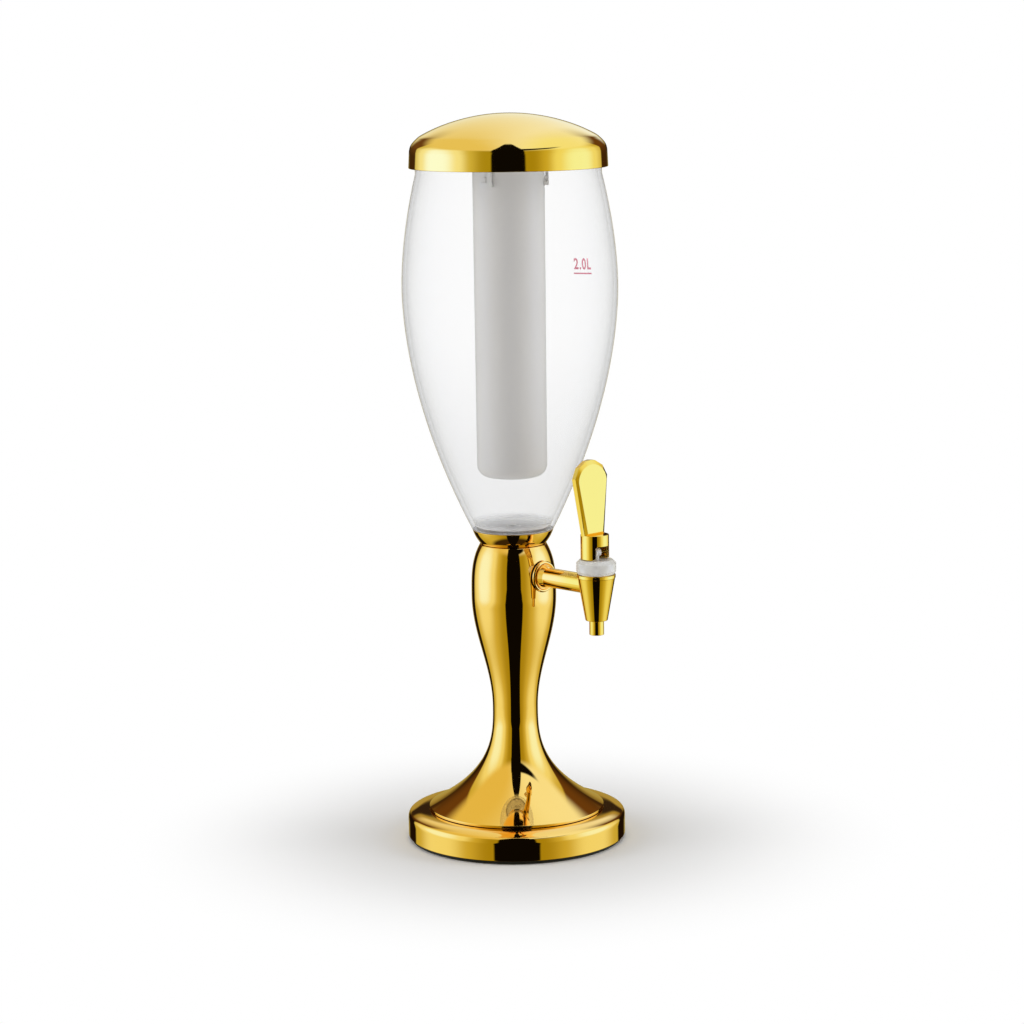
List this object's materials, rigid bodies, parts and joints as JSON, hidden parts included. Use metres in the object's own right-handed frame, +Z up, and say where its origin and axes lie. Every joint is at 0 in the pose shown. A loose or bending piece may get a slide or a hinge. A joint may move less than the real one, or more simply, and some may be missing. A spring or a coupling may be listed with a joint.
{
  "type": "beer tower dispenser",
  "caption": "Table-top drink tower: clear container with an ice tube and lift-off domed lid, on a waisted gold column with a round foot and a lever tap.",
  "frame": {"origin": "centre of the round foot's underside, on the column's axis", "axes": "+Z up along the column, -Y from the column to the tap, +X to the right of someone who faces the tap"},
  "size_m": [0.1372, 0.1519, 0.455],
  "materials": {
    "gold_plastic": "mirror gold plating on moulded plastic",
    "clear_plastic": "clear, polished",
    "frosted_plastic": "frosted, lets light through",
    "white_plastic": "white, satin",
    "black_plastic": "black, matt",
    "black_rubber": "black, matt",
    "silicone": "milky silicone",
    "steel": "plain steel",
    "cast_iron": "raw casting"
  },
  "bodies": {
    "dispenser": {"foot_pad": "black_rubber", "bottom_cover": "black_plastic", "base_weight": "cast_iron", "base_shell": "gold_plastic", "cover_screw_1": "steel", "cover_screw_2": "steel", "cover_screw_3": "steel", "cover_screw_4": "steel", "column_screw_1": "steel", "column_screw_2": "steel", "column_screw_3": "steel", "column_screw_4": "steel", "column_shell": "gold_plastic", "collar_cup": "gold_plastic", "container_gasket": "silicone", "container_ring_nut": "white_plastic", "container": "clear_plastic", "outlet_elbow": "white_plastic", "nipple_seal": "silicone", "shank_seal": "silicone", "tap_body": "gold_plastic", "rosette_washer": "black_rubber", "tap_rosette": "gold_plastic", "shank_washer": "black_rubber", "shank_nut": "steel", "tap_bonnet": "frosted_plastic", "tap_seat_cup": "silicone", "tap_spring": "steel"},
    "lid": {"lid_shell": "gold_plastic", "lid_liner": "white_plastic", "lid_seal": "silicone", "lid_screw_1": "steel", "lid_screw_2": "steel", "lid_screw_3": "steel"},
    "ice_tube": {"ice_tube": "frosted_plastic"},
    "stem": {"tap_stem": "white_plastic", "tap_pin": "steel"},
    "handle": {"tap_handle": "gold_plastic"}
  },
  "joints": [
    {"name": "lid_lift", "type": "slide", "parent": "dispenser", "child": "lid", "axis": [0, 0, 1], "range_m": [0, 0.2]},
    {"name": "ice_tube_twist", "type": "hinge", "parent": "lid", "child": "ice_tube", "pos_m": [0, 0, 0.414], "axis": [0, 0, 1], "range_deg": [-20, 0]},
    {"name": "stem_lift", "type": "slide", "parent": "dispenser", "child": "stem", "axis": [0, 0, 1], "range_m": [0, 0.00147], "deforming": ["tap_spring", "tap_seat_cup"]},
    {"name": "handle_tilt", "type": "hinge", "parent": "stem", "child": "handle", "pos_m": [0, -0.0711, 0.1909], "axis": [1, 0, 0], "range_deg": [0, 40], "stiffness_Nm_per_rad": 0.0044, "springref_deg": -81.93}
  ],
  "couplings": [
    {"joint": "stem_lift", "follows": "handle_tilt", "m_per_rad": 0.0021}
  ]
}
